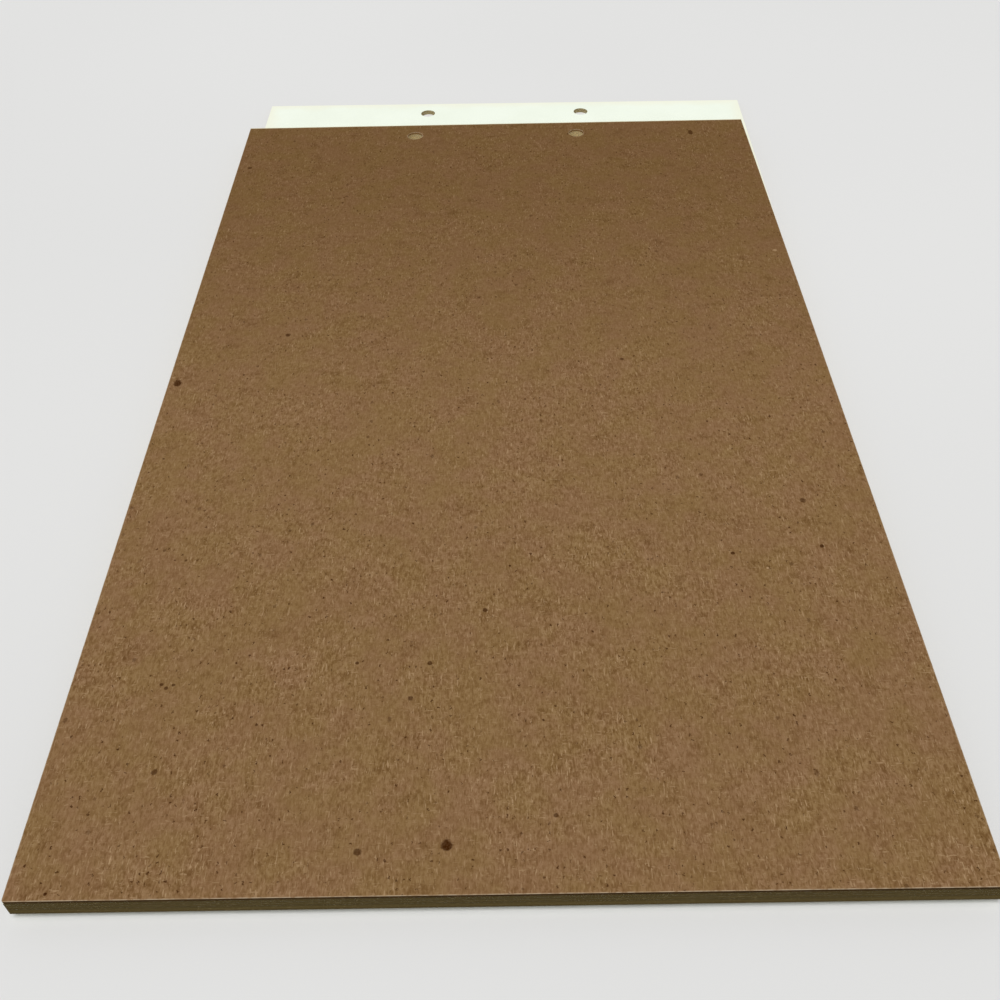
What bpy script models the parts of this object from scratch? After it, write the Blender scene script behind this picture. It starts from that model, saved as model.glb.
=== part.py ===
"""A legal-size columnar pad lying face down, modelled in metres with +Z up.

The pad is a chipboard back and a block of ruled sheets, all trimmed to one size, punched with two
holes at the head end and held together by a film of padding glue along that end. The front sheets
have been torn off the glue: they lie loose under the pad, drawn out past its head end and a little
askew.

The head end is at +Y, the foot end at -Y. The row frame's origin is the middle of the whole
object's bounding box, on the surface that it lies on. Leaves lift at the foot end and turn about
the glued head end; the loose sheets slide along their own length.
"""

import math

import bmesh
import bpy
from mathutils import Matrix, Vector

MM = 0.001

# Trimmed size that the board and every sheet share.
PAD_WIDTH = 215.9 * MM
PAD_LENGTH = 355.6 * MM

# Thicknesses, and the air left between two neighbours in the stack.
SHEET_THICKNESS = 0.12 * MM
BOARD_THICKNESS = 0.9 * MM
AIR_GAP = 0.015 * MM

# Padding glue on the head end: film thickness, and the clearance to the paper edges behind it.
GLUE_THICKNESS = 0.35 * MM
GLUE_CLEARANCE = 0.02 * MM

# Two-hole punch at the head end.
HOLE_DIAMETER = 6.35 * MM
HOLE_SPACING = 69.85 * MM
HOLE_FROM_EDGE = 9.525 * MM
HOLE_SIDES = 24

# How the loose front sheets lie: drawn out past the head end, shifted sideways and turned.
LOOSE_SHEETS = 14
LOOSE_PULL = 32.7 * MM
LOOSE_SHIFT = 4.1 * MM
LOOSE_SKEW = math.radians(-0.7)

# Glued leaves from the front (lowest) to the back (highest): group name and number of sheets.
LEAF_GROUPS = (
    ("front_leaves", 16),
    ("lower_leaves", 7),
    ("middle_leaves", 6),
    ("upper_leaves", 6),
    ("back_leaf", 1),
)

SHEET_PITCH = SHEET_THICKNESS + AIR_GAP
HINGE_Y = PAD_LENGTH / 2 + GLUE_CLEARANCE + GLUE_THICKNESS


def clear_scene():
    """Remove every object that the scene starts with."""
    for obj in list(bpy.data.objects):
        bpy.data.objects.remove(obj, do_unlink=True)


def make_material(name, colour, roughness):
    """A plain Principled material.

    Args:
        name: the material's name.
        colour: linear red, green and blue.
        roughness: surface roughness from 0 to 1.

    Returns:
        The new material.
    """
    material = bpy.data.materials.new(name)
    material.use_nodes = True
    shader = material.node_tree.nodes["Principled BSDF"]
    shader.inputs["Base Color"].default_value = (*colour, 1.0)
    shader.inputs["Roughness"].default_value = roughness
    shader.inputs["Metallic"].default_value = 0.0
    return material


def make_empty(name, location, parent=None, turn=0.0):
    """An empty that carries pieces, on a joint's axis or at the frame's origin.

    Args:
        name: the empty's name.
        location: its place in its parent's space.
        parent: the empty that carries it, if any.
        turn: its rotation about Z, in radians.

    Returns:
        The new empty.
    """
    empty = bpy.data.objects.new(name, None)
    empty.empty_display_size = 0.02
    empty.location = location
    empty.rotation_euler = (0.0, 0.0, turn)
    empty.parent = parent
    bpy.context.scene.collection.objects.link(empty)
    return empty


def add_object(name, mesh, material, parent):
    """Link one named piece under its empty, which stands on its joint's axis."""
    mesh.materials.append(material)
    obj = bpy.data.objects.new(name, mesh)
    obj.parent = parent
    bpy.context.scene.collection.objects.link(obj)
    return obj


def closed_loop(bm, points):
    """Vertices joined in a ring, and the ring's edges."""
    verts = [bm.verts.new(point) for point in points]
    return [bm.edges.new((verts[i - 1], verts[i])) for i in range(len(verts))]


def finish_solid(bm, name, thickness):
    """Raise the flat faces in bm into a closed solid and return it as a mesh."""
    raised = bmesh.ops.extrude_face_region(bm, geom=bm.faces[:])["geom"]
    top = [item for item in raised if isinstance(item, bmesh.types.BMVert)]
    bmesh.ops.translate(bm, verts=top, vec=(0.0, 0.0, thickness))
    bmesh.ops.recalc_face_normals(bm, faces=bm.faces[:])
    mesh = bpy.data.meshes.new(name)
    bm.to_mesh(mesh)
    bm.free()
    return mesh


def punched_plate(name, thickness, head_y, base_z):
    """A plate of the pad's trimmed size with the two punched holes.

    Args:
        name: the mesh's name.
        thickness: the plate's height.
        head_y: the Y of its head edge in the carrying empty's space.
        base_z: the Z of its lower face there.

    Returns:
        The plate as a closed mesh.
    """
    bm = bmesh.new()
    half = PAD_WIDTH / 2
    foot_y = head_y - PAD_LENGTH
    edges = closed_loop(
        bm,
        [
            (-half, foot_y, base_z),
            (half, foot_y, base_z),
            (half, head_y, base_z),
            (-half, head_y, base_z),
        ],
    )
    for side in (-1, 1):
        centre = Vector((side * HOLE_SPACING / 2, head_y - HOLE_FROM_EDGE, base_z))
        spoke = Vector((HOLE_DIAMETER / 2, 0.0, 0.0))
        ring = [
            centre + Matrix.Rotation(2 * math.pi * i / HOLE_SIDES, 3, "Z") @ spoke
            for i in range(HOLE_SIDES)
        ]
        edges += closed_loop(bm, ring)
    bmesh.ops.triangle_fill(bm, use_beauty=True, edges=edges, normal=(0.0, 0.0, 1.0))
    return finish_solid(bm, name, thickness)


def glue_strip(name, height, base_z):
    """The glue film over one group's edges, from just behind the paper to the hinge line.

    Args:
        name: the mesh's name.
        height: how tall a stack it covers.
        base_z: the Z of its lower face in the carrying empty's space.

    Returns:
        The strip as a closed mesh. Its outer face lies on the hinge line, at Y 0.
    """
    bm = bmesh.new()
    half = PAD_WIDTH / 2
    corners = [
        (-half, -GLUE_THICKNESS, base_z),
        (half, -GLUE_THICKNESS, base_z),
        (half, 0.0, base_z),
        (-half, 0.0, base_z),
    ]
    bm.faces.new([bm.verts.new(corner) for corner in corners])
    return finish_solid(bm, name, height)


def frame_shift():
    """The move that brings the middle of the whole object's outline to the frame's origin."""
    turn = Matrix.Rotation(LOOSE_SKEW, 3, "Z")
    head = Vector((LOOSE_SHIFT, PAD_LENGTH / 2 + LOOSE_PULL, 0.0))
    half = PAD_WIDTH / 2
    corners = [
        head + turn @ Vector((x, y, 0.0))
        for x in (-half, half)
        for y in (0.0, -PAD_LENGTH)
    ]
    corners += [Vector((x, y, 0.0)) for x in (-half, half) for y in (-PAD_LENGTH / 2, HINGE_Y)]
    low = [min(corner[i] for corner in corners) for i in (0, 1)]
    high = [max(corner[i] for corner in corners) for i in (0, 1)]
    return Vector((-(low[0] + high[0]) / 2, -(low[1] + high[1]) / 2, 0.0))


def build_loose_sheets(frame, paper):
    """The torn-off front sheets, on an empty that slides along their length.

    Args:
        frame: the empty at the pad's own middle.
        paper: the sheets' material.

    Returns:
        The number of the next sheet and the height of the stack so far.
    """
    slide = make_empty(
        "loose_sheets_slide",
        (LOOSE_SHIFT, PAD_LENGTH / 2 + LOOSE_PULL, 0.0),
        frame,
        LOOSE_SKEW,
    )
    for number in range(1, LOOSE_SHEETS + 1):
        name = f"sheet_{number:02d}"
        mesh = punched_plate(name, SHEET_THICKNESS, 0.0, (number - 1) * SHEET_PITCH)
        add_object(name, mesh, paper, slide)
    return LOOSE_SHEETS + 1, LOOSE_SHEETS * SHEET_PITCH


def build_pad(frame, first_sheet, base, paper, board, glue):
    """The glued leaves and the board, each group on an empty at its hinge line.

    Args:
        frame: the empty at the pad's own middle.
        first_sheet: the number of the lowest glued sheet.
        base: the height where the glued block starts.
        paper: the sheets' material.
        board: the backing board's material.
        glue: the padding glue's material.
    """
    head_y = PAD_LENGTH / 2 - HINGE_Y
    carrier, carrier_z, number = frame, 0.0, first_sheet
    for group, count in LEAF_GROUPS:
        hinge_z = base - AIR_GAP / 2
        place = (0.0, 0.0 if carrier is not frame else HINGE_Y, hinge_z - carrier_z)
        carrier = make_empty(f"{group}_hinge", place, carrier)
        carrier_z = hinge_z
        for index in range(count):
            name = f"sheet_{number:02d}"
            low = AIR_GAP / 2 + index * SHEET_PITCH
            add_object(name, punched_plate(name, SHEET_THICKNESS, head_y, low), paper, carrier)
            number += 1
        film = count * SHEET_PITCH - AIR_GAP
        name = f"glue_{group}"
        add_object(name, glue_strip(name, film, AIR_GAP / 2), glue, carrier)
        base += count * SHEET_PITCH
    hinge_z = base - AIR_GAP / 2
    carrier = make_empty("backing_board_hinge", (0.0, 0.0, hinge_z - carrier_z), carrier)
    plate = punched_plate("backing_board", BOARD_THICKNESS, head_y, AIR_GAP / 2)
    add_object("backing_board", plate, board, carrier)
    strip = glue_strip("glue_board", BOARD_THICKNESS, AIR_GAP / 2)
    add_object("glue_board", strip, glue, carrier)


def main():
    """Build the pad."""
    clear_scene()
    board = make_material("chipboard", (0.215, 0.127, 0.063), 0.85)
    paper = make_material("ledger_paper", (0.86, 0.9, 0.82), 0.8)
    glue = make_material("padding_glue", (0.72, 0.66, 0.46), 0.45)
    frame = make_empty("pad_frame", frame_shift())
    first_sheet, base = build_loose_sheets(frame, paper)
    build_pad(frame, first_sheet, base, paper, board, glue)
    bpy.context.view_layer.update()


if __name__ == "__main__":
    main()
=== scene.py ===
"""Dress the columnar pad: chipboard back, punched ledger sheets and padding glue.

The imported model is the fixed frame. The board, the sheets and the glue film are built again here
with worn edges, jogged leaves, a ruling on the fronts and procedural finishes, and each piece rides
on the body that carries the solids which it stands for. Sizes are in millimetres until a mesh is
written. Places in the frame and in the studio are in metres.
"""

from __future__ import annotations

import logging
import math
import random
from collections.abc import Iterable
from dataclasses import dataclass, field
from enum import Enum
from functools import reduce

import bmesh
import bpy
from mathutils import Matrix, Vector, noise
from mathutils.geometry import delaunay_2d_cdt

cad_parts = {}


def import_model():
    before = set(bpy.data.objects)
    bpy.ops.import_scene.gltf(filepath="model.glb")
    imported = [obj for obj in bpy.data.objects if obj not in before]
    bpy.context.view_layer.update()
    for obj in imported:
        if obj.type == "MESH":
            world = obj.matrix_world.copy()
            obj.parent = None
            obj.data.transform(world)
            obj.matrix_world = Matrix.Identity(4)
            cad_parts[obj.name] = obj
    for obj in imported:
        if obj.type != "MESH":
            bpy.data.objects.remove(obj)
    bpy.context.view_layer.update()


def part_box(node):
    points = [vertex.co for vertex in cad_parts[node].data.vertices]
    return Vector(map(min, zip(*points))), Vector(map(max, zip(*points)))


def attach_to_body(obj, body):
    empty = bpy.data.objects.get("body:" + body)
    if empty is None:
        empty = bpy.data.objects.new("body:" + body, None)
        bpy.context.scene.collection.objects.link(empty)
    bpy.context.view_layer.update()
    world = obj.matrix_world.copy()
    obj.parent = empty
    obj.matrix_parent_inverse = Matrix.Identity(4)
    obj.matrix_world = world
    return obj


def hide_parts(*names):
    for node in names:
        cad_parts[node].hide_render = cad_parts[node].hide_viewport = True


LOG = logging.getLogger("columnar_pad")

MM = 0.001

Triple = tuple[float, float, float]
Colour = Triple
Point = tuple[float, float]
Span = tuple[float, float]
Socket = bpy.types.NodeSocket
Feed = Socket | float | Triple
Coat = tuple[Feed, Feed]


def swatch(*levels: int) -> Colour:
    """A swatch's red, green and blue, 0 to 255 each, as a colour in linear light."""
    parts = [level / 255.0 for level in levels]
    return tuple(p / 12.92 if p <= 0.04045 else ((p + 0.055) / 1.055) ** 2.4 for p in parts)


class Graph:
    """Wires the nodes of one material or one group."""

    # The Mix node's sockets for two colours, and for their mixture.
    LOWER, UPPER, MIXED = 6, 7, 2

    def __init__(self, tree: bpy.types.NodeTree) -> None:
        """Take the tree to wire."""
        self.tree = tree

    def node(self, kind: str, *values: Feed, **settings: object) -> bpy.types.Node:
        """Add a node.

        Args:
            kind: the node's type name.
            values: what its first inputs get, in order.
            settings: properties to set on it.

        Returns:
            The new node.
        """
        made = self.tree.nodes.new(kind)
        for name, value in settings.items():
            setattr(made, name, value)
        for socket, value in zip(made.inputs, values):
            self.feed(socket, value)
        return made

    def feed(self, socket: Socket, value: Feed) -> None:
        """Link a socket to another one, or set its own value.

        Args:
            socket: the input to feed.
            value: an output socket, a number, three numbers or a colour.
        """
        if isinstance(value, bpy.types.NodeSocket):
            self.tree.links.new(value, socket)
        elif socket.type == "RGBA":
            socket.default_value = (*value, 1.0)
        else:
            socket.default_value = value

    def fill(self, node: bpy.types.Node, **values: Feed) -> bpy.types.NodeOutputs:
        """Feed a node's inputs by name.

        Args:
            node: the node.
            values: what its inputs get, each named with _ for a space.

        Returns:
            The node's outputs.
        """
        for name, value in values.items():
            self.feed(node.inputs[name.replace("_", " ")], value)
        return node.outputs

    def maths(self, operation: str, *values: Feed) -> Socket:
        """One step of arithmetic on its operands."""
        return self.node("ShaderNodeMath", *values, operation=operation).outputs[0]

    def fold(self, operation: str, *values: Feed) -> Socket:
        """The same step over several values in turn."""
        return reduce(lambda first, second: self.maths(operation, first, second), values)

    def times(self, *values: Feed) -> Socket:
        """The product of several values."""
        return self.fold("MULTIPLY", *values)

    def stretch(
        self, vector: Socket, by: Triple, turn: float = 0.0, shift: Triple = (0.0, 0.0, 0.0)
    ) -> Socket:
        """A place scaled along each axis, turned about Z by an angle in radians and then moved."""
        made = self.node("ShaderNodeMapping", vector, shift, (0.0, 0.0, turn), by)
        return made.outputs[0]

    def ramp(
        self, value: Feed, low: Feed, high: Feed, start: float = 0.0, end: float = 1.0
    ) -> Socket:
        """A smooth step from start to end, while a value goes from low to high."""
        kind = {"interpolation_type": "SMOOTHSTEP"}
        return self.node("ShaderNodeMapRange", value, low, high, start, end, **kind).outputs[0]

    def cloud(
        self, vector: Socket, scale: Feed, detail: float = 2, rough: float = 0.5, twist: float = 0
    ) -> Socket:
        """Soft noise around 0.5, by its patches per millimetre, finer layers and their strength."""
        made = self.node("ShaderNodeTexNoise", vector)
        return self.fill(made, Scale=scale, Detail=detail, Roughness=rough, Distortion=twist)[0]

    def blend(self, factor: Feed, lower: Feed, upper: Feed, kind: str = "MIX") -> Socket:
        """Lay one colour over another.

        Args:
            factor: how much of the upper one shows, 0 to 1.
            lower: the lower colour.
            upper: the upper colour.
            kind: the way of mixing.

        Returns:
            The mixed colour's socket.
        """
        made = self.node("ShaderNodeMix", factor, data_type="RGBA", blend_type=kind)
        self.feed(made.inputs[self.LOWER], lower)
        self.feed(made.inputs[self.UPPER], upper)
        return made.outputs[self.MIXED]

    def layer(self, ground: Feed, *coats: Coat) -> Socket:
        """A ground colour under coats, each given by its mask and colour, from the lowest up."""
        return reduce(lambda under, coat: self.blend(coat[0], under, coat[1]), coats, ground)

    def place(self) -> Socket:
        """Find the surface point.

        Returns:
            Its place in the piece's own millimetres.
        """
        point = self.node("ShaderNodeTexCoord").outputs["Object"]
        scaled = self.node("ShaderNodeVectorMath", point, operation="SCALE")
        return self.fill(scaled, Scale=1.0 / MM)[0]

    def split(self, vector: Socket) -> tuple[Socket, ...]:
        """A place's parts along X, Y and Z."""
        return tuple(self.node("ShaderNodeSeparateXYZ", vector).outputs)

    def stored(self, name: str) -> Socket:
        """A value that the mesh carries under this name."""
        made = self.node("ShaderNodeAttribute", attribute_type="GEOMETRY", attribute_name=name)
        return made.outputs["Fac"]

    def effect(self, group: bpy.types.NodeTree, **values: Feed) -> bpy.types.NodeOutputs:
        """A shared effect with its inputs by name."""
        return self.fill(self.node("ShaderNodeGroup", node_tree=group), **values)


class Effect(Graph):
    """One shader node group that takes a place and some values, and gives values."""

    def __init__(self, name: str, inputs: tuple[str, ...], outputs: tuple[str, ...]) -> None:
        """Open the group.

        Args:
            name: the group's name.
            inputs: names of the values that it takes beside the place.
            outputs: names of the values that it gives.
        """
        super().__init__(bpy.data.node_groups.new(name, "ShaderNodeTree"))
        sockets = [("Place", "INPUT", "NodeSocketVector")]
        sockets += [(label, "INPUT", "NodeSocketFloat") for label in inputs]
        sockets += [(label, "OUTPUT", "NodeSocketFloat") for label in outputs]
        for label, side, kind in sockets:
            self.tree.interface.new_socket(label, in_out=side, socket_type=kind)
        self.taken = self.node("NodeGroupInput").outputs
        self.given = self.node("NodeGroupOutput")

    def give(self, **values: Socket) -> bpy.types.NodeTree:
        """Send values out by name and hand the group over."""
        self.fill(self.given, **values)
        return self.tree


class Effects:
    """The effects that several finishes share, each built once."""

    # Shares of the long fibres and of the felt in the tone.
    FIBRES, FELT = 0.6, 0.4
    # Where the noise turns into light and dark fibres, straight ones and leaning ones.
    LIGHT, DARK = (0.63, 0.71), (0.26, 0.35)
    LIGHT_LEANING, DARK_LEANING = (0.65, 0.73), (0.25, 0.33)
    # How strongly leaning ones show beside straight ones, and how far light ones stand up.
    LEANING, RAISED = 0.8, 0.5
    # Flecks: their outlines' ripple, how they are drawn out, the smallest one, and the dark core.
    RIPPLES, SHAKE, DRAWN_OUT, LEAST, CORE = 1.7, (1.5, 1.5, 1.5), 0.72, 0.35, 0.45
    # How the toned band's reach wavers: patches per millimetre, and its least and most.
    WAVER, WAVERING = 0.06, (0.45, 1.25)

    def __init__(self) -> None:
        """Build every group."""
        self.fibre_grain = self._fibre_grain()
        self.flecks = self._flecks()
        self.edge_toning = self._edge_toning()

    def _fibre_grain(self) -> bpy.types.NodeTree:
        """Pressed fibres that lie mostly along the sheet.

        Returns:
            A group that gives a tone around 0.5, masks of light and dark fibres and a height.
        """
        outputs = ("Tone", "Light Fibres", "Dark Fibres", "Height")
        graph = Effect("fibre_grain", ("Fineness",), outputs)
        place, fine = graph.taken["Place"], graph.taken["Fineness"]
        along = graph.cloud(graph.stretch(place, (1.1, 0.38, 1.0)), fine, 3.0, 0.6, 0.5)
        felt = graph.cloud(graph.stretch(place, (0.4, 0.3, 1.0), 0.2), fine, 3.0, 0.6, 0.6)
        tone = graph.maths("MULTIPLY_ADD", along, self.FIBRES, graph.times(felt, self.FELT))
        straight = graph.cloud(graph.stretch(place, (1.6, 0.26, 1.0), 0.02), fine, 1.0, 0.5, 0.8)
        leaning = graph.cloud(graph.stretch(place, (0.32, 1.5, 1.0), 0.9), fine, 1.0, 0.5, 0.8)
        light = graph.ramp(leaning, *self.LIGHT_LEANING, 0.0, self.LEANING)
        light = graph.maths("MAXIMUM", graph.ramp(straight, *self.LIGHT), light)
        dark = graph.ramp(leaning, *self.DARK_LEANING, self.LEANING, 0.0)
        dark = graph.maths("MAXIMUM", graph.ramp(straight, *self.DARK, 1.0, 0.0), dark)
        height = graph.maths("MULTIPLY_ADD", light, self.RAISED, tone)
        return graph.give(Tone=tone, Light_Fibres=light, Dark_Fibres=dark, Height=height)

    def _flecks(self) -> bpy.types.NodeTree:
        """Scattered flecks of uneven size.

        Returns:
            A group that gives the flecks' mask, darker in some than in others.
        """
        graph = Effect("flecks", ("Per Millimetre", "Share", "Size"), ("Mask",))
        place = graph.taken["Place"]
        ripple = graph.node("ShaderNodeTexNoise", place)
        ripple = graph.fill(ripple, Scale=self.RIPPLES)["Color"]
        drawn = graph.stretch(place, (1.0, self.DRAWN_OUT, 0.0))
        shaken = graph.node(
            "ShaderNodeVectorMath", ripple, self.SHAKE, drawn, operation="MULTIPLY_ADD"
        )
        cells = graph.node("ShaderNodeTexVoronoi", voronoi_dimensions="2D", feature="F1")
        cells = graph.fill(cells, Vector=shaken.outputs[0], Scale=graph.taken["Per Millimetre"])
        lot, rank, _ = graph.split(cells["Color"])
        chosen = graph.maths("LESS_THAN", lot, graph.taken["Share"])
        size = graph.times(graph.taken["Size"], graph.ramp(rank, 0.0, 1.0, self.LEAST))
        spot = graph.ramp(cells["Distance"], graph.times(size, self.CORE), size, 1.0, 0.0)
        return graph.give(Mask=graph.times(spot, chosen, graph.ramp(rank, 0.1, 1.0, self.LEAST)))

    def _edge_toning(self) -> bpy.types.NodeTree:
        """A band along the trimmed edges, uneven as handling leaves it.

        Returns:
            A group that gives 1 at the edge and 0 further in than its reach.
        """
        graph = Effect("edge_toning", ("Half Width", "Half Length", "Reach"), ("Mask",))
        place, taken = graph.taken["Place"], graph.taken
        across, along, _ = graph.split(place)
        side = graph.maths("SUBTRACT", taken["Half Width"], graph.maths("ABSOLUTE", across))
        end = graph.maths("SUBTRACT", taken["Half Length"], graph.maths("ABSOLUTE", along))
        uneven = graph.ramp(graph.cloud(place, self.WAVER, 3.0), 0.25, 0.75, *self.WAVERING)
        reach = graph.times(taken["Reach"], uneven)
        return graph.give(Mask=graph.ramp(graph.maths("MINIMUM", side, end), 0.0, reach, 1.0, 0.0))


def link(name: str, data: bpy.types.ID) -> bpy.types.Object:
    """Add an object to the scene.

    Args:
        name: the object's name.
        data: its mesh, lamp or camera.

    Returns:
        The new object.
    """
    made = bpy.data.objects.new(name, data)
    bpy.context.scene.collection.objects.link(made)
    return made


def write_piece(
    name: str, bm: bmesh.types.BMesh, *materials: bpy.types.Material
) -> bpy.types.Object:
    """Write a mesh and add it to the scene.

    Args:
        name: the piece's name.
        bm: its shape, which is freed.
        materials: its materials, in slot order.

    Returns:
        The new piece.
    """
    mesh = bpy.data.meshes.new(name)
    bm.to_mesh(mesh)
    bm.free()
    for material in materials:
        mesh.materials.append(material)
    return link(name, mesh)


@dataclass(frozen=True)
class Trim:
    """The size that board and sheets are trimmed to, and the two-hole punch at the head end."""

    width: float = 215.9
    length: float = 355.6
    hole_diameter: float = 6.35
    hole_spacing: float = 69.85
    hole_from_head: float = 9.525
    hole_sides: int = 72

    @property
    def half_width(self) -> float:
        """Half the width."""
        return self.width / 2

    @property
    def half_length(self) -> float:
        """Half the length."""
        return self.length / 2

    def hole_centres(self) -> tuple[Point, Point]:
        """The two holes' centres, measured from the sheet's middle."""
        along = self.half_length - self.hole_from_head
        return (-self.hole_spacing / 2, along), (self.hole_spacing / 2, along)

    def near_hole(self, point: Point, reach: float) -> bool:
        """Whether a point lies within reach of a hole's centre."""
        return any(math.dist(point, hole) < reach for hole in self.hole_centres())


class PanelFace(Enum):
    """The three kinds of surface on a punched panel, with their material slots."""

    FRONT = 0
    BACK = 1
    CUT = 2


@dataclass
class PanelPlan:
    """A punched panel seen from above, cut into counter-clockwise triangles."""

    trim: Trim
    points: list[Point]
    worn: list[float]
    triangles: list[list[int]]

    def in_punch(self, index: int) -> bool:
        """Whether a point lies on a punched hole's wall."""
        return self.trim.near_hole(self.points[index], self.trim.hole_diameter)

    def rim(self) -> list[tuple[int, int]]:
        """Find the edges that belong to one triangle only.

        Returns:
            Their two points each, in the triangle's direction.
        """
        sides = [(t[i - 1], t[i]) for t in self.triangles for i in (1, 2, 0)]
        known = set(sides)
        return [(a, b) for a, b in sides if (b, a) not in known]


@dataclass
class PanelCutter:
    """Draws the plan of a punched panel, with a worn band along its edges if it has one."""

    # What the triangulation keeps (all inside the outline), and how close points may lie.
    INSIDE, CLOSE = 1, 1e-5
    # Room for rounding where a triangle is told from a hole.
    SLACK = 1e-4
    CORNER_STEPS = 4

    trim: Trim
    band: float = 0.0
    corner: float = 0.25

    def plan(self, slip: Point = (0.0, 0.0)) -> PanelPlan:
        """Draw and triangulate one panel.

        Args:
            slip: how far its sides and its foot stand off the trimmed size.

        Returns:
            The plan, with worn edge points marked.
        """
        loops = self._loops(slip, 0.0)
        edge_points = sum(len(loop) for loop in loops)
        if self.band:
            loops += self._loops(slip, self.band)
        points, edges = [], []
        for loop in loops:
            first, count = len(points), len(loop)
            points += [Vector(point) for point in loop]
            edges += [(first + i, first + (i + 1) % count) for i in range(count)]
        out = delaunay_2d_cdt(points, edges, [], self.INSIDE, self.CLOSE)
        corners = [tuple(corner) for corner in out[0]]
        worn = [float(any(index < edge_points for index in origin)) for origin in out[3]]
        flattest = math.cos(math.pi / self.trim.hole_sides) * self.trim.hole_diameter / 2
        kept = []
        for face in out[2]:
            middle = [sum(corners[i][axis] for i in face) / len(face) for axis in (0, 1)]
            if not self.trim.near_hole(middle, flattest - self.SLACK):
                kept.append(face)
        return PanelPlan(self.trim, corners, worn, kept)

    def _loops(self, slip: Point, inset: float) -> list[list[Point]]:
        """Draw the outline and the two holes, or the same drawn in from the cut edges.

        Args:
            slip: how far the sides and the foot stand off the trimmed size.
            inset: how far inside the edges the lines run.

        Returns:
            Each line's points.
        """
        across, head = self.trim.half_width - self.corner, self.trim.half_length - self.corner
        left, right, foot = slip[0] - across, slip[0] + across, slip[1] - head
        parts = [step / self.CORNER_STEPS for step in range(self.CORNER_STEPS + 1)]
        outline = [
            self._around(middle, self.corner - inset, (quarter + part) / 4)
            for quarter, middle in enumerate(
                [(right, head), (left, head), (left, foot), (right, foot)]
            )
            for part in parts
        ]
        radius, sides = self.trim.hole_diameter / 2 + inset, self.trim.hole_sides
        return [outline] + [
            [self._around(centre, radius, i / sides) for i in range(sides)]
            for centre in self.trim.hole_centres()
        ]

    @staticmethod
    def _around(centre: Point, radius: float, turns: float) -> Point:
        """A point on a circle, a number of turns on from its right."""
        angle = turns * 2 * math.pi
        return centre[0] + radius * math.cos(angle), centre[1] + radius * math.sin(angle)


class PanelMesh:
    """Collects raised panels in one mesh."""

    WORN = "worn_edge"
    TONE = "leaf_tone"
    PUNCHED = "punched_wall"

    def __init__(self) -> None:
        """Start an empty mesh with the values that the finishes read."""
        self.bm = bmesh.new()
        self.worn = self.bm.verts.layers.float.new(self.WORN)
        self.tone = self.bm.faces.layers.float.new(self.TONE)
        self.punched = self.bm.faces.layers.float.new(self.PUNCHED)

    def raise_panel(
        self,
        plan: PanelPlan,
        levels: list[float],
        tones: list[float],
        drop: float = 0.0,
        clean: float = 1.0,
    ) -> None:
        """Raise a plan into a closed panel of one or more leaves.

        Args:
            plan: the panel from above.
            levels: the height where each leaf starts, and the top of the last one.
            tones: each leaf's own shade, around 0.5.
            drop: how far the upper edge is worn down.
            clean: how much of the lighter hole-wall colour the punched walls get, 0 to 1; less
                leaves them darker, as painted shade.
        """
        rim = plan.rim()
        rows = [self._row(plan, range(len(plan.points)), levels[0])]
        rows += [self._row(plan, [a for a, _ in rim], level) for level in levels[1:-1]]
        rows.append(self._row(plan, range(len(plan.points)), levels[-1], drop))
        low, high = rows[0], rows[-1]
        for a, b, c in plan.triangles:
            self._face((low[c], low[b], low[a]), PanelFace.FRONT, tones[0])
            self._face((high[a], high[b], high[c]), PanelFace.BACK, tones[-1])
        for under, over, tone in zip(rows, rows[1:], tones):
            for a, b in rim:
                wall = self._face((under[a], under[b], over[b], over[a]), PanelFace.CUT, tone)
                wall[self.punched] = clean * plan.in_punch(a)

    def _row(
        self, plan: PanelPlan, indices: Iterable[int], level: float, drop: float = 0.0
    ) -> dict[int, bmesh.types.BMVert]:
        """Set a plan's points at one height.

        Args:
            plan: the panel from above.
            indices: which of its points.
            level: their height.
            drop: how much lower the worn edge lies.

        Returns:
            The new points by their index in the plan.
        """
        made = {}
        for index in indices:
            x, y = plan.points[index]
            vert = self.bm.verts.new((x * MM, y * MM, (level - drop * plan.worn[index]) * MM))
            vert[self.worn] = plan.worn[index]
            made[index] = vert
        return made

    def _face(
        self, verts: tuple[bmesh.types.BMVert, ...], kind: PanelFace, tone: float
    ) -> bmesh.types.BMFace:
        """Add a face.

        Args:
            verts: its points.
            kind: which surface it belongs to.
            tone: its leaf's shade.

        Returns:
            The new face.
        """
        face = self.bm.faces.new(verts)
        face.material_index = kind.value
        face[self.tone] = tone
        return face


@dataclass
class Finish:
    """A procedural material on one Principled shader, which each kind of surface paints."""

    NAME = ""
    ROUGHNESS = 0.95
    SPECULAR = 0.06

    trim: Trim
    effects: Effects

    def __post_init__(self) -> None:
        """Start the material."""
        self.made = bpy.data.materials.new(self.NAME)
        self.made.use_nodes = True
        self.graph = Graph(self.made.node_tree)
        self.place = self.graph.place()
        self.shader = self.made.node_tree.nodes["Principled BSDF"]
        self.wear(Roughness=self.ROUGHNESS, Specular_IOR_Level=self.SPECULAR)

    def material(self) -> bpy.types.Material:
        """Paint the material and hand it over."""
        self.paint()
        return self.made

    def paint(self) -> None:
        """Wire the colour and the relief."""
        raise NotImplementedError

    def wear(self, **values: Feed) -> None:
        """Feed the shader's inputs by name."""
        self.graph.fill(self.shader, **values)

    def grain(self, fineness: float) -> bpy.types.NodeOutputs:
        """The shared fibre grain on this surface."""
        group = self.effects.fibre_grain
        return self.graph.effect(group, Place=self.place, Fineness=fineness)

    def relief(self, height: Socket, depth: float) -> Socket:
        """The normal of a surface raised by a height, where 1 is a depth in millimetres."""
        bump = self.graph.node("ShaderNodeBump")
        return self.graph.fill(bump, Strength=1.0, Distance=depth * MM, Height=height)["Normal"]


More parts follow.
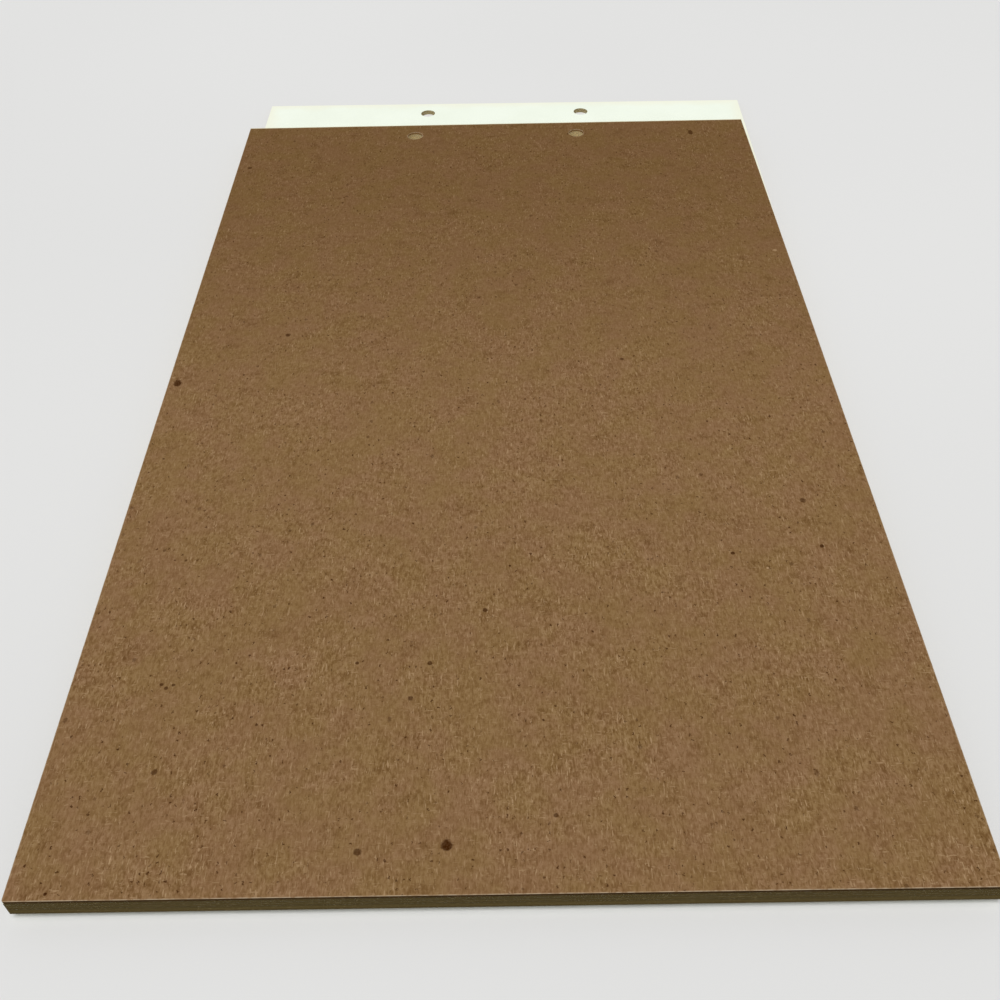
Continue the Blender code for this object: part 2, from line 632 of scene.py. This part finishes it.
@dataclass(frozen=True)
class Spot:
    """A dark or light speck in the board's face, in millimetres from its middle."""

    x: float
    y: float
    radius: float
    depth: float = 1.0
    stretch: float = 1.0


@dataclass(frozen=True)
class Scatter:
    """Flecks strewn over the board: how close, what share of them, their size and strength."""

    per_millimetre: float
    share: float
    size: float
    depth: float


@dataclass
class ChipboardFinish(Finish):
    """Brown pressed chipboard with fibres, flecks and a few larger specks."""

    NAME = "chipboard_face"
    ROUGHNESS = 0.9
    SPECULAR = 0.0
    # Spots: how ragged their outlines are, their dark core and how mottled they are.
    RAGGED, CORE, MOTTLED = 0.8, 0.6, 0.84

    ochre: Colour = swatch(131, 102, 65)
    russet: Colour = swatch(133, 101, 70)
    shade: Colour = swatch(103, 73, 40)
    fibre: Colour = swatch(176, 146, 111)
    fleck: Colour = swatch(60, 30, 5)
    # The pale line along the worn edges: partly rubbing, partly a painted highlight.
    rubbed_highlight: Colour = swatch(178, 158, 132)
    # Painted shade: the factor that darkens the brown towards the head end.
    painted_head_shade: Colour = (0.77, 0.74, 0.68)
    head_reach: float = 0.9
    head_grain: float = 0.6
    clouds: float = 0.5
    tones: Span = (0.62, 1.4)
    patches: Span = (0.55, 1.0)
    gloss: Span = (0.94, 0.84)
    tone_depth: Triple = (0.78, 1.0, 1.4)
    light_fibres: float = 0.72
    dark_fibres: float = 0.6
    fineness: float = 1.8
    depth: float = 0.035
    scatter: tuple[Scatter, ...] = (
        Scatter(0.66, 0.31, 0.2, 0.85),
        Scatter(0.15, 0.14, 0.11, 0.5),
    )
    spots: tuple[Spot, ...] = (
        Spot(-12.6, -166.2, 1.66),
        Spot(-32.3, -167.5, 1.12, 0.78),
        Spot(-104.9, -0.7, 1.5, 0.95, 1.35),
        Spot(84.2, 166.6, 1.2, 0.8, 2.2),
        Spot(89.1, -78.0, 0.75),
        Spot(87.4, -59.9, 1.1, 0.77),
        Spot(-18.1, -116.1, 0.8, 0.81),
        Spot(-4.2, -99.0, 0.9, 0.84),
        Spot(-72.0, 24.6, 1.1, 0.81),
        Spot(-102.9, 142.4, 1.1, 0.77),
        Spot(64.1, -80.1, 0.7, 0.92),
        Spot(41.1, 7.9, 0.8, 0.77),
        Spot(-81.6, -146.5, 0.95, 0.75),
        Spot(-85.1, -121.4, 0.6, 0.85),
        Spot(-83.7, -122.5, 0.65, 0.8),
        Spot(-82.1, -121.6, 0.6, 0.85),
        Spot(11.9, -159.2, 0.7, 0.77),
        Spot(-98.9, -176.2, 0.48, 0.97),
        Spot(-22.5, -126.7, 0.85, 0.8),
        Spot(-36.6, -115.7, 0.6, 0.85),
    )
    pale_spots: tuple[Spot, ...] = (
        Spot(103.5, 72.3, 0.9, 0.6),
        Spot(72.7, -85.8, 0.45, 0.9),
        Spot(-86.7, -168.5, 0.22, 0.95, 6.0),
    )

    def paint(self) -> None:
        """Wire the brown with its grain, fibres and specks, and its edges painted lighter, partly
        as rubbing and partly as a highlight.
        """
        graph, grain = self.graph, self.grain(self.fineness)
        tone = graph.ramp(grain["Tone"], 0.34, 0.66, *self.tones)
        patchy = graph.ramp(graph.cloud(self.place, 0.07, 3.0, 0.6), 0.36, 0.64, *self.patches)
        patchy = graph.times(patchy, self._towards_head(0.8, 1.0, self.head_grain))
        colour = graph.layer(
            graph.blend(patchy, self._ground(), self._tint(tone), "MULTIPLY"),
            (graph.times(grain["Light Fibres"], patchy, self.light_fibres), self.fibre),
            (graph.times(grain["Dark Fibres"], self.dark_fibres), self.shade),
            (self._marks(), self.fleck),
            (self._spots(self.pale_spots), self.fibre),
            (self._rubbed_highlight(), self.rubbed_highlight),
        )
        self.wear(Base_Color=colour, Roughness=graph.ramp(tone, 0.7, 1.3, *self.gloss))
        self.wear(Normal=self.relief(grain["Height"], self.depth))

    def _ground(self) -> Socket:
        """The board's brown with its slow drift of hue, its clouds and a painted shade that darkens
        it towards the head end.

        Returns:
            The colour's socket.
        """
        graph = self.graph
        hue = graph.ramp(graph.cloud(self.place, 0.09, 3.0, 0.6), 0.32, 0.68)
        cloud = graph.ramp(graph.cloud(self.place, 0.14, 4.0, 0.62), 0.5, 0.8, 0.0, self.clouds)
        brown = graph.layer(self.ochre, (hue, self.russet), (cloud, self.shade))
        # Painted shade darkens the brown towards the head end.
        return graph.blend(self._towards_head(0.3, 0.0, 1.0), brown, self.painted_head_shade, "MULTIPLY")

    def _towards_head(self, start: float, foot: float, head: float) -> Socket:
        """A value that changes slowly from the foot to the head end.

        Args:
            start: where the change starts, as a share of the way from the middle to the foot.
            foot: the value before that.
            head: the value near the head end.

        Returns:
            The value's socket.
        """
        _, along, _ = self.graph.split(self.place)
        half = self.trim.half_length
        return self.graph.ramp(along, -half * start, half * self.head_reach, foot, head)

    def _tint(self, tone: Socket) -> Socket:
        """The colour of a tone, which leaves the brown as warm as it is."""
        parts = [self.graph.maths("POWER", tone, depth) for depth in self.tone_depth]
        return self.graph.node("ShaderNodeCombineColor", *parts).outputs[0]

    def _marks(self) -> Socket:
        """The scattered flecks and the board's own dark spots together.

        Returns:
            Their mask.
        """
        masks = [self._spots(self.spots)]
        for kind in self.scatter:
            flecks = self.graph.effect(
                self.effects.flecks,
                Place=self.place,
                Per_Millimetre=kind.per_millimetre,
                Share=kind.share,
                Size=kind.size,
            )
            masks.append(self.graph.times(flecks["Mask"], kind.depth))
        return self.graph.fold("MAXIMUM", *masks)

    def _spots(self, spots: tuple[Spot, ...]) -> Socket:
        """Place spots with uneven outlines.

        Args:
            spots: the spots.

        Returns:
            Their mask.
        """
        graph, masks = self.graph, []
        ragged = graph.cloud(self.place, 1.5, 3.0)
        ragged = graph.maths("MULTIPLY_ADD", ragged, self.RAGGED, -self.RAGGED / 2)
        mottle = graph.ramp(graph.cloud(self.place, 2.4, 2.0), 0.35, 0.65, self.MOTTLED)
        for spot in spots:
            squeeze = 1.0 / spot.stretch
            shift = (-spot.x, -spot.y * squeeze, 0.0)
            away = graph.stretch(self.place, (1.0, squeeze, 0.0), shift=shift)
            away = graph.node("ShaderNodeVectorMath", away, operation="LENGTH").outputs["Value"]
            reach = graph.maths("MULTIPLY_ADD", ragged, spot.radius, away)
            core = spot.radius * self.CORE
            masks.append(graph.ramp(reach, core, spot.radius, spot.depth, 0.0))
        return graph.times(graph.fold("MAXIMUM", *masks), mottle)

    def _rubbed_highlight(self) -> Socket:
        """The pale, broken line along the cut edge: partly rubbing, partly a painted highlight.

        Returns:
            Its mask.
        """
        graph = self.graph
        broken = graph.ramp(graph.cloud(self.place, 0.7, 3.0), 0.35, 0.6, 0.35, 1.0)
        return graph.times(graph.ramp(graph.stored(PanelMesh.WORN), 0.1, 0.9), broken)


@dataclass
class ChipboardEdgeFinish(Finish):
    """The board's cut edge: pressed layers, darker than its face, partly its own colour and partly
    painted shade.
    """

    NAME = "chipboard_cut"

    # Both layer colours are dark partly as the board's own cut edge and partly as painted shade.
    layer: Colour = swatch(74, 54, 26)
    dark_layer: Colour = swatch(52, 36, 15)
    fibre: Colour = swatch(112, 88, 58)
    # Painted light: the colour that lightens the holes' walls, which lie in shade, and how much of
    # it they get.
    punched: Colour = swatch(180, 144, 98)
    fibres: float = 0.6
    cleanness: float = 0.75
    fineness: float = 2.2
    depth: float = 0.06

    def paint(self) -> None:
        """Wire the layers, the fibres and the walls of the holes, lightened as painted light."""
        graph, grain = self.graph, self.grain(self.fineness)
        layers = graph.cloud(graph.stretch(self.place, (0.12, 0.12, 5.0)), 1.0, 3.0, 0.6)
        colour = graph.layer(
            self.dark_layer,
            (graph.ramp(layers, 0.38, 0.62), self.layer),
            (graph.times(grain["Light Fibres"], self.fibres), self.fibre),
            # Painted light on the holes' shaded walls.
            (graph.times(graph.stored(PanelMesh.PUNCHED), self.cleanness), self.punched),
        )
        self.wear(Base_Color=colour, Normal=self.relief(layers, self.depth))


@dataclass
class PaperFinish(Finish):
    """A ledger sheet's blank back: pale green-white, toned along its edges."""

    NAME = "ledger_paper_back"
    ROUGHNESS = 0.82
    SPECULAR = 0.28

    base: Colour = swatch(245, 252, 238)
    clouded: Colour = swatch(242, 249, 234)
    toned: Colour = swatch(244, 240, 216)
    toning: float = 0.45
    toned_reach: float = 7.0
    pulp: float = 0.35
    gloss: Span = (0.88, 0.76)
    fineness: float = 1.8
    depth: float = 0.006

    def paint(self) -> None:
        """Wire the paper, its toned edges and what is printed on it."""
        graph, grain = self.graph, self.grain(self.fineness)
        drift = graph.ramp(graph.cloud(self.place, 0.05, 3.0), 0.35, 0.65)
        pulp = graph.ramp(grain["Tone"], 0.35, 0.65, self.pulp, 0.0)
        edge = graph.effect(
            self.effects.edge_toning,
            Place=self.place,
            Half_Width=self.trim.half_width,
            Half_Length=self.trim.half_length,
            Reach=self.toned_reach,
        )
        aged = graph.times(edge["Mask"], self.toning)
        coats = [(drift, self.clouded), (pulp, self.clouded), (aged, self.toned), *self.inks()]
        rough = graph.ramp(grain["Tone"], 0.3, 0.7, *self.gloss)
        self.wear(Base_Color=graph.layer(self.base, *coats), Roughness=rough)
        self.wear(Normal=self.relief(grain["Height"], self.depth))

    def inks(self) -> list[Coat]:
        """Nothing, as the back is blank."""
        return []


@dataclass
class Ruling:
    """A columnar ruling, in millimetres from the sheet's left and head edges as it is read."""

    left: float = 7.0
    number_column: float = 8.0
    wording_column: float = 60.0
    columns: int = 6
    column: float = 21.6
    digits: int = 8
    top: float = 30.0
    heading: float = 12.0
    rows: int = 40
    row: float = 7.5
    rows_per_mark: int = 5
    pair: float = 0.9
    top_pair: float = 1.1
    # Half the width of each kind of line.
    digit_line: float = 0.09
    row_line: float = 0.13
    mark_line: float = 0.24
    column_line: float = 0.2
    upright_line: float = 0.18
    top_line: float = 0.35
    head_line: float = 0.16

    def __post_init__(self) -> None:
        """Work out where the columns and rows end, and where lines stand alone."""
        wording = self.left + self.number_column
        first = self.first_column = wording + self.wording_column
        last = self.last_column = first + self.columns * self.column
        self.right = last + self.number_column
        self.first_row = self.top + self.heading
        self.bottom = self.first_row + self.rows * self.row
        self.uprights = [first - self.pair, first, last, last + self.pair]
        self.uprights += [self.left, wording, self.right]
        self.heads = [self.first_row - self.pair, self.first_row, self.bottom]
        self.heads.append(self.top + self.top_pair)


@dataclass
class RuledFinish(PaperFinish):
    """A ledger sheet's front with its columnar ruling."""

    NAME = "ledger_paper_front"
    # A pitch longer than the sheet, for a line that stands alone.
    ALONE = 1000.0

    ruling: Ruling = field(default_factory=Ruling)
    row_ink: Colour = swatch(132, 176, 150)
    digit_ink: Colour = swatch(182, 205, 182)
    column_ink: Colour = swatch(164, 108, 92)
    overrun: float = 0.3
    softness: float = 0.3

    def inks(self) -> list[Coat]:
        """Draw the ruling.

        Returns:
            Each ink's mask and colour, from the lowest up.
        """
        graph, rule = self.graph, self.ruling
        across, along, _ = graph.split(self.place)
        from_left = graph.maths("SUBTRACT", self.trim.half_width, across)
        from_head = graph.maths("SUBTRACT", self.trim.half_length, along)
        in_width = self._between(from_left, rule.left, rule.right)
        in_money = self._between(from_left, rule.first_column, rule.last_column)
        in_rows = self._between(from_head, rule.first_row, rule.bottom)
        in_table = self._between(from_head, rule.top, rule.bottom)
        digit, mark = rule.column / rule.digits, rule.row * rule.rows_per_mark
        digits = self._lines(from_left, rule.first_column, rule.digit_line, digit)
        thin = self._lines(from_head, rule.first_row, rule.row_line, rule.row)
        marks = self._lines(from_head, rule.first_row, rule.mark_line, mark)
        money = self._lines(from_left, rule.first_column, rule.column_line, rule.column)
        uprights = [self._lines(from_left, at, rule.upright_line) for at in rule.uprights]
        heads = [self._lines(from_head, at, rule.head_line) for at in rule.heads]
        heads.append(self._lines(from_head, rule.top, rule.top_line))
        columns = graph.fold("MAXIMUM", graph.times(money, in_money), *uprights)
        columns = graph.times(columns, in_table)
        heads = graph.times(graph.fold("MAXIMUM", *heads), in_width)
        return [
            (graph.times(digits, in_money, in_rows), self.digit_ink),
            (graph.times(graph.maths("MAXIMUM", thin, marks), in_rows, in_width), self.row_ink),
            (graph.maths("MAXIMUM", columns, heads), self.column_ink),
        ]

    def _between(self, value: Socket, low: float, high: float) -> Socket:
        """1 where a distance lies between two others, with room for a line's width, else 0."""
        over = self.graph.maths("GREATER_THAN", value, low - self.overrun)
        return self.graph.times(over, self.graph.maths("LESS_THAN", value, high + self.overrun))

    def _lines(self, value: Socket, at: float, half: float, pitch: float = ALONE) -> Socket:
        """Rule lines at an even pitch, or one line.

        Args:
            value: the distance that is measured.
            at: where a line lies.
            half: half a line's width.
            pitch: how far the next one is.

        Returns:
            The lines' mask.
        """
        away = self.graph.maths("PINGPONG", self.graph.maths("SUBTRACT", value, at), pitch / 2)
        inner, outer = half * (1.0 - self.softness), half * (1.0 + self.softness)
        return self.graph.ramp(away, inner, outer, 1.0, 0.0)


@dataclass
class PaperEdgeFinish(Finish):
    """The trimmed edges of the sheets: buff, partly with age and partly as painted shade, darker
    still towards the foot as painted shade, one shade per leaf.
    """

    NAME = "ledger_paper_cut"
    # Shares of the leaf's own shade and of the streaks along it.
    LEAF, STREAK = 0.6, 0.4

    # The buff is partly the paper's age and partly painted shade; the punched walls show the paler,
    # cleaner colour.
    pale: Colour = swatch(178, 162, 116)
    deep: Colour = swatch(146, 128, 84)
    # Painted shade on the sheets' edges near the foot, where the near face lies in shade.
    painted_foot_shade: Colour = swatch(102, 87, 50)
    painted_foot_shade_deep: Colour = swatch(72, 60, 33)
    dust: Colour = swatch(80, 65, 38)
    punched: Colour = swatch(230, 210, 168)
    painted_foot_shade_reach: float = 110.0
    dusting: float = 0.4
    fibres: float = 0.25
    cleanness: float = 0.8
    fineness: float = 2.5
    depth: float = 0.03

    def paint(self) -> None:
        """Wire the leaves' shades, the painted shade at the foot, the dust and the clean walls of
        the holes.
        """
        graph, grain, foot = self.graph, self.grain(self.fineness), -self.trim.half_length
        streaks = graph.cloud(graph.stretch(self.place, (0.03, 0.03, 6.0)), 1.0, 2.0)
        streak, leaf = graph.times(streaks, self.STREAK), graph.stored(PanelMesh.TONE)
        shade = graph.ramp(graph.maths("MULTIPLY_ADD", leaf, self.LEAF, streak), 0.25, 0.75)
        _, along, _ = graph.split(self.place)
        # Painted shade: the edges grow darker towards the foot.
        painted_foot_shade_mask = graph.ramp(along, foot, foot + self.painted_foot_shade_reach, 1.0, 0.0)
        handled = graph.cloud(self.place, 0.03, 4.0, 0.6)
        handled = graph.ramp(handled, 0.5, 0.75, 0.0, self.dusting)
        colour = graph.layer(
            graph.blend(shade, self.deep, self.pale),
            (painted_foot_shade_mask, graph.blend(shade, self.painted_foot_shade_deep, self.painted_foot_shade)),
            (handled, self.dust),
            (graph.times(grain["Light Fibres"], self.fibres), self.pale),
            (graph.times(graph.stored(PanelMesh.PUNCHED), self.cleanness), self.punched),
        )
        self.wear(Base_Color=colour, Normal=self.relief(streaks, self.depth))


@dataclass
class GlueFinish(Finish):
    """Padding glue: a cream film with brush marks and a soft gloss."""

    NAME = "padding_glue_film"
    ROUGHNESS = 0.4
    SPECULAR = 0.45

    film: Colour = swatch(226, 214, 180)
    thick: Colour = swatch(206, 190, 148)
    paper_through: Colour = swatch(196, 184, 150)
    show_through: float = 0.5
    gloss: Span = (0.32, 0.55)
    depth: float = 0.08

    def paint(self) -> None:
        """Wire the brush strokes and the leaves that show through."""
        graph = self.graph
        strokes = graph.cloud(graph.stretch(self.place, (0.05, 1.0, 1.6)), 1.0, 4.0, 0.62)
        leaves = graph.cloud(graph.stretch(self.place, (0.02, 0.02, 7.0)), 1.0, 1.0)
        colour = graph.layer(
            self.thick,
            (graph.ramp(strokes, 0.35, 0.65), self.film),
            (graph.ramp(leaves, 0.5, 0.7, 0.0, self.show_through), self.paper_through),
        )
        self.wear(Base_Color=colour, Roughness=graph.ramp(strokes, 0.3, 0.7, *self.gloss))
        self.wear(Normal=self.relief(strokes, self.depth))


@dataclass
class FloorFinish(Finish):
    """A plain pale studio surface with a faint drift."""

    NAME = "pale_surface"
    ROUGHNESS = 0.75
    SPECULAR = 0.1

    pale: Colour = swatch(229, 229, 228)
    cool: Colour = swatch(226, 226, 225)

    def paint(self) -> None:
        """Wire the drift."""
        drift = self.graph.ramp(self.graph.cloud(self.place, 0.003, 1.0), 0.3, 0.7)
        self.wear(Base_Color=self.graph.blend(drift, self.pale, self.cool))


class Finishes:
    """Every finish in the scene, built once."""

    def __init__(self, trim: Trim) -> None:
        """Build the materials.

        Args:
            trim: the size that the pad is trimmed to.
        """
        effects = Effects()
        self.floor = FloorFinish(trim, effects).material()
        self.board_face = ChipboardFinish(trim, effects).material()
        self.board_cut = ChipboardEdgeFinish(trim, effects).material()
        self.paper_back = PaperFinish(trim, effects).material()
        self.paper_front = RuledFinish(trim, effects).material()
        self.paper_cut = PaperEdgeFinish(trim, effects).material()
        self.glue = GlueFinish(trim, effects).material()


class RecordSlot(Enum):
    """The record's material slots."""

    CHIPBOARD = "chipboard"
    PAPER = "ledger_paper"
    GLUE = "padding_glue"


def lay(piece: bpy.types.Object, node: str, turn: float = 0.0) -> None:
    """Lay a panel where a solid lies.

    Args:
        piece: the panel, modelled about its own middle.
        node: the solid's name.
        turn: how it is turned about Z, in radians.
    """
    low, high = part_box(node)
    piece.location = ((low.x + high.x) / 2, (low.y + high.y) / 2, 0.0)
    piece.rotation_euler = (0.0, 0.0, turn)


def attach(piece: bpy.types.Object, body: str, nodes: list[str]) -> None:
    """Hand a piece over to the frame.

    Args:
        piece: the finished piece, in place.
        body: the body that carries it.
        nodes: the solids that it stands for.
    """
    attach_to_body(piece, body)
    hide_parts(*nodes)
    LOG.info("%s rides on %s and stands for %d solids", piece.name, body, len(nodes))


@dataclass
class BackingBoard:
    """The chipboard back with its worn edges, which its finish paints lighter, partly as a
    highlight.
    """

    trim: Trim
    finishes: Finishes
    band: float = 0.32
    worn: float = 0.07
    corner: float = 0.5
    tone: float = 0.5

    def build(self) -> None:
        """Build and dress the board."""
        low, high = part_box("backing_board")
        mesh, face = PanelMesh(), self.finishes.board_face
        plan = PanelCutter(self.trim, self.band, self.corner).plan()
        mesh.raise_panel(plan, [low.z / MM, high.z / MM], [self.tone], self.worn)
        piece = write_piece("chipboard_back", mesh.bm, face, face, self.finishes.board_cut)
        lay(piece, "backing_board")
        attach(piece, "backing", ["backing_board"])


@dataclass
class LeafGroup:
    """Sheets that move together: the first one with its ruled front, the others as a block."""

    body: str
    label: str
    first: int
    count: int
    trim: Trim
    finishes: Finishes
    turn: float = 0.0
    slip: float = 0.0
    swell: float = 0.012
    # The share of the lighter hole-wall colour on the loose sheets; the rest is painted shade in
    # their holes.
    loose_hole_unshaded: float = 0.2

    def build(self) -> None:
        """Build and dress the group's sheets."""
        numbers = list(range(self.first, self.first + self.count))
        self._piece(f"{self.label}_first_sheet", numbers[:1])
        if len(numbers) > 1:
            self._piece(f"{self.label}_sheet_block", numbers[1:])

    def _piece(self, name: str, numbers: list[int]) -> None:
        """Build one piece from one or more sheets.

        Args:
            name: the piece's name.
            numbers: the numbers of its sheets, from the lowest up.
        """
        mesh, cutter = PanelMesh(), PanelCutter(self.trim)
        nodes = [f"sheet_{number:02d}" for number in numbers]
        boxes = [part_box(node) for node in nodes]
        starts, tops = [low.z / MM for low, _ in boxes], [high.z / MM for _, high in boxes]
        chances = [random.Random(number) for number in numbers]
        if self.slip:
            for chance, start, top in zip(chances, starts, tops):
                side, foot = [chance.uniform(-self.slip, self.slip) for _ in range(2)]
                plan, tones = cutter.plan((side, foot)), [chance.random()]
                # The loose sheets' hole walls get painted shade.
                mesh.raise_panel(plan, [start, top], tones, clean=self.loose_hole_unshaded)
        else:
            tones = [chance.random() for chance in chances]
            mesh.raise_panel(cutter.plan(), [*starts, tops[-1] + self.swell], tones)
        back = self.finishes.paper_back
        front = self.finishes.paper_front if len(numbers) == 1 else back
        piece = write_piece(name, mesh.bm, front, back, self.finishes.paper_cut)
        lay(piece, nodes[0], self.turn)
        attach(piece, self.body, nodes)


@dataclass
class GlueFilm:
    """One group's part of the padding glue, brushed on unevenly."""

    # The brush marks' waves: how many per millimetre across and up, and where they start.
    ACROSS, UP, START = 0.09, 0.5, 3.7
    # How finer waves are added, and the waves' middle and strength in the film's depth.
    FALL, FINER, LAYERS, MIDDLE, STRENGTH = 1.0, 2.0, 3, 0.5, 0.6
    # The height of one row of faces, and the fewest rows.
    ROW, FEWEST = 0.25, 2

    body: str
    node: str
    finishes: Finishes
    steps: int = 150
    dip: float = 0.13

    def build(self) -> None:
        """Build and dress the strip."""
        low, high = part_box(self.node)
        rows = max(self.FEWEST, round((high.z - low.z) / (self.ROW * MM)))
        heights = [low.z + (high.z - low.z) * (row / rows) for row in range(rows + 1)]
        bm, rings = bmesh.new(), []
        for step in range(self.steps + 1):
            x = low.x + (high.x - low.x) * (step / self.steps)
            cut = [(high.y - self._drawn_in(x, z), z) for z in heights]
            cut += [(low.y, high.z), (low.y, low.z)]
            rings.append([bm.verts.new((x, y, z)) for y, z in cut])
        for left, right in zip(rings, rings[1:]):
            for k in range(len(left)):
                bm.faces.new((left[k - 1], right[k - 1], right[k], left[k]))
        bm.faces.new(rings[0])
        bm.faces.new(rings[-1])
        bmesh.ops.recalc_face_normals(bm, faces=bm.faces[:])
        piece = write_piece(f"{self.node}_film", bm, self.finishes.glue)
        attach(piece, self.body, [self.node])

    def _drawn_in(self, x: float, z: float) -> float:
        """Find how far the outer face is drawn in where the film is thin.

        Args:
            x: a point's place across the pad.
            z: its height.

        Returns:
            The distance there.
        """
        spot = Vector((x / MM * self.ACROSS, z / MM * self.UP, self.START))
        wave = noise.fractal(spot, self.FALL, self.FINER, self.LAYERS)
        return self.dip * MM * min(1.0, max(0.0, self.MIDDLE + self.STRENGTH * wave))


@dataclass
class Studio:
    """Camera, soft light from above and a plain pale surface, in metres and degrees."""

    floor_finish: bpy.types.Material
    lens: float = 40.295
    sensor: float = 36.0
    nearest: float = 0.01
    eye: Triple = (0.0, -0.30597, 0.23579)
    tilt: Triple = (45.38, 0.924, -0.455)
    floor_size: float = 12.0
    floor_drop: float = 0.00005
    lamp_turn: Triple = (10.0, -6.0, 0.0)
    lamp_spread: float = 38.0
    lamp_power: float = 2.28
    sky: float = 0.28
    backdrop: float = 0.75

    def build(self) -> None:
        """Set up the whole studio."""
        self._camera()
        self._lamp()
        self._world()
        self._floor()
        bpy.context.scene.view_settings.view_transform = "Standard"
        LOG.info("studio ready")

    def _camera(self) -> None:
        """The camera at the photograph's place."""
        data = bpy.data.cameras.new("camera")
        data.lens = self.lens
        data.sensor_width = self.sensor
        data.clip_start = self.nearest
        camera = link("camera", data)
        camera.location = self.eye
        camera.rotation_euler = [math.radians(angle) for angle in self.tilt]
        bpy.context.scene.camera = camera

    def _lamp(self) -> None:
        """One broad soft lamp high overhead, so that raised leaves get no more light."""
        data = bpy.data.lights.new("soft_lamp", "SUN")
        data.angle = math.radians(self.lamp_spread)
        data.energy = self.lamp_power
        lamp = link("soft_lamp", data)
        lamp.rotation_euler = [math.radians(angle) for angle in self.lamp_turn]

    def _world(self) -> None:
        """Even light from all round, with a pale backdrop where it is looked at."""
        world = bpy.data.worlds.new("studio_air")
        world.use_nodes = True
        graph = Graph(world.node_tree)
        path = graph.node("ShaderNodeLightPath").outputs
        rays = [path[f"Is {kind} Ray"] for kind in ("Camera", "Glossy", "Transmission")]
        seen = graph.fold("MAXIMUM", *rays)
        strength = graph.maths("MULTIPLY_ADD", seen, self.backdrop - self.sky, self.sky)
        sky = world.node_tree.nodes["Background"]
        graph.fill(sky, Color=(1.0, 1.0, 1.0), Strength=strength)
        bpy.context.scene.world = world

    def _floor(self) -> None:
        """The surface that the pad lies on."""
        half, bm = self.floor_size / 2, bmesh.new()
        corners = [(-half, -half, 0.0), (half, -half, 0.0), (half, half, 0.0), (-half, half, 0.0)]
        bm.faces.new([bm.verts.new(corner) for corner in corners])
        floor = write_piece("pale_floor", bm, self.floor_finish)
        floor.location.z = -self.floor_drop


@dataclass
class ColumnarPad:
    """The whole pad: loose front sheets, glued leaves, board and glue."""

    trim: Trim
    finishes: Finishes
    loose: int = 14
    loose_skew: float = math.radians(-0.7)
    loose_slip: float = 0.14
    leaves: tuple[tuple[str, int], ...] = (
        ("front_leaves", 16),
        ("lower_leaves", 7),
        ("middle_leaves", 6),
        ("upper_leaves", 6),
        ("back_leaf", 1),
    )

    def build(self) -> None:
        """Build and dress every piece."""
        trim, finishes, first = self.trim, self.finishes, self.loose + 1
        loose = LeafGroup("loose_sheets", "loose", 1, self.loose, trim, finishes)
        loose.turn, loose.slip = self.loose_skew, self.loose_slip
        loose.build()
        for body, count in self.leaves:
            LeafGroup(body, body, first, count, trim, finishes).build()
            GlueFilm(body, f"glue_{body}", finishes).build()
            first += count
        BackingBoard(trim, finishes).build()
        GlueFilm("backing", "glue_board", finishes).build()


def main() -> None:
    """Load the frame, set up the studio and dress the pad."""
    logging.basicConfig(level=logging.INFO, format="%(name)s: %(message)s")
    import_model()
    trim = Trim()
    finishes = Finishes(trim)
    Studio(finishes.floor).build()
    ColumnarPad(trim, finishes).build()
    bpy.context.view_layer.update()


if __name__ == "__main__":
    main()
